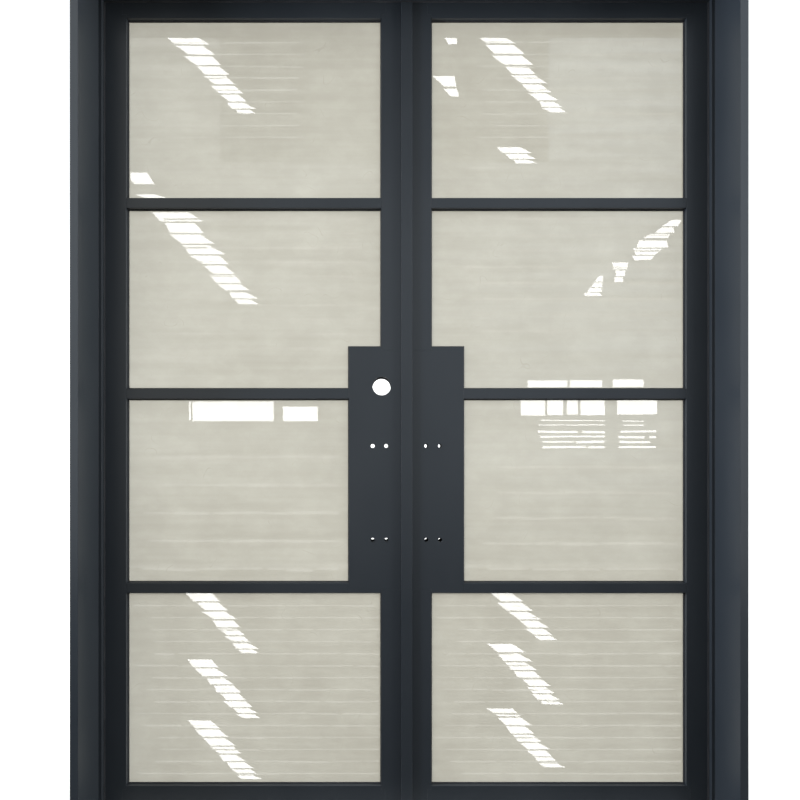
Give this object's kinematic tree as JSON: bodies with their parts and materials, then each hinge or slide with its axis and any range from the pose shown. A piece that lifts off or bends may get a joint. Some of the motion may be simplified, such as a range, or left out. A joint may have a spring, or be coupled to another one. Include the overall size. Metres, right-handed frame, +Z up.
{
  "type": "french doors",
  "caption": "Pair of steel and glass french doors in their own frame, four panes to a leaf, with lock boxes, astragal, flush bolts, threshold and barrel hinges.",
  "frame": {"origin": "middle of the threshold's underside, halfway across the frame and halfway through its depth", "axes": "+X across to the viewer's right, +Y from the outside to the inside, +Z up"},
  "size_m": [1.829, 0.1935, 2.438],
  "materials": {
    "graphite_paint": "satin powder coat, graphite grey",
    "glass": "clear float glass, faintly warm",
    "black_rubber": "matt black extruded rubber",
    "bare_steel": "zinc-plated turned steel",
    "spacer_aluminium": "mill-finished aluminium",
    "threshold_aluminium": "clear anodised extrusion",
    "bronze": "plain bearing bronze"
  },
  "bodies": {
    "frame": {"left_jamb": "graphite_paint", "right_jamb": "graphite_paint", "head_jamb": "graphite_paint", "threshold": "threshold_aluminium", "left_seal": "black_rubber", "right_seal": "black_rubber", "head_seal": "black_rubber", "left_frame_knuckles": "graphite_paint", "right_frame_knuckles": "graphite_paint", "hinge_pins": "bare_steel", "hinge_washers": "bronze", "head_keep": "bare_steel", "sill_keep": "bare_steel"},
    "left_leaf": {"left_hinge_stile": "graphite_paint", "left_upper_stile": "graphite_paint", "left_lower_stile": "graphite_paint", "left_top_rail": "graphite_paint", "left_bottom_rail": "graphite_paint", "left_muntin_1": "graphite_paint", "left_muntin_2": "graphite_paint", "left_muntin_3": "graphite_paint", "left_lock_box": "graphite_paint", "left_glass_1": "glass", "left_glass_2": "glass", "left_glass_3": "glass", "left_glass_4": "glass", "left_spacers": "spacer_aluminium", "left_gaskets": "black_rubber", "left_setting_blocks": "black_rubber", "left_beads": "graphite_paint", "left_bead_screws": "bare_steel", "left_leaf_knuckles": "graphite_paint", "left_sweep": "black_rubber"},
    "right_leaf": {"right_hinge_stile": "graphite_paint", "right_upper_stile": "graphite_paint", "right_lower_stile": "graphite_paint", "right_top_rail": "graphite_paint", "right_bottom_rail": "graphite_paint", "right_muntin_1": "graphite_paint", "right_muntin_2": "graphite_paint", "right_muntin_3": "graphite_paint", "right_lock_box": "graphite_paint", "right_glass_1": "glass", "right_glass_2": "glass", "right_glass_3": "glass", "right_glass_4": "glass", "right_spacers": "spacer_aluminium", "right_gaskets": "black_rubber", "right_setting_blocks": "black_rubber", "right_beads": "graphite_paint", "right_bead_screws": "bare_steel", "right_leaf_knuckles": "graphite_paint", "right_sweep": "black_rubber", "astragal": "graphite_paint", "astragal_seal": "black_rubber", "bolt_guides": "bare_steel"},
    "top_bolt": {"top_bolt": "bare_steel"},
    "bottom_bolt": {"bottom_bolt": "bare_steel"}
  },
  "joints": [
    {"name": "left_leaf_swing", "type": "hinge", "parent": "frame", "child": "left_leaf", "pos_m": [-0.891, 0.097, 1.222], "axis": [0, 0, 1], "range_deg": [0, 110]},
    {"name": "right_leaf_swing", "type": "hinge", "parent": "frame", "child": "right_leaf", "pos_m": [0.891, 0.097, 1.222], "axis": [0, 0, -1], "range_deg": [0, 99]},
    {"name": "top_bolt_slide", "type": "slide", "parent": "right_leaf", "child": "top_bolt", "axis": [0, 0, 1], "range_m": [0, 0.02]},
    {"name": "bottom_bolt_slide", "type": "slide", "parent": "right_leaf", "child": "bottom_bolt", "axis": [0, 0, -1], "range_m": [0, 0.02]}
  ],
  "couplings": [
    {"joint": "right_leaf_swing", "follows": "left_leaf_swing", "ratio": 0.9}
  ]
}
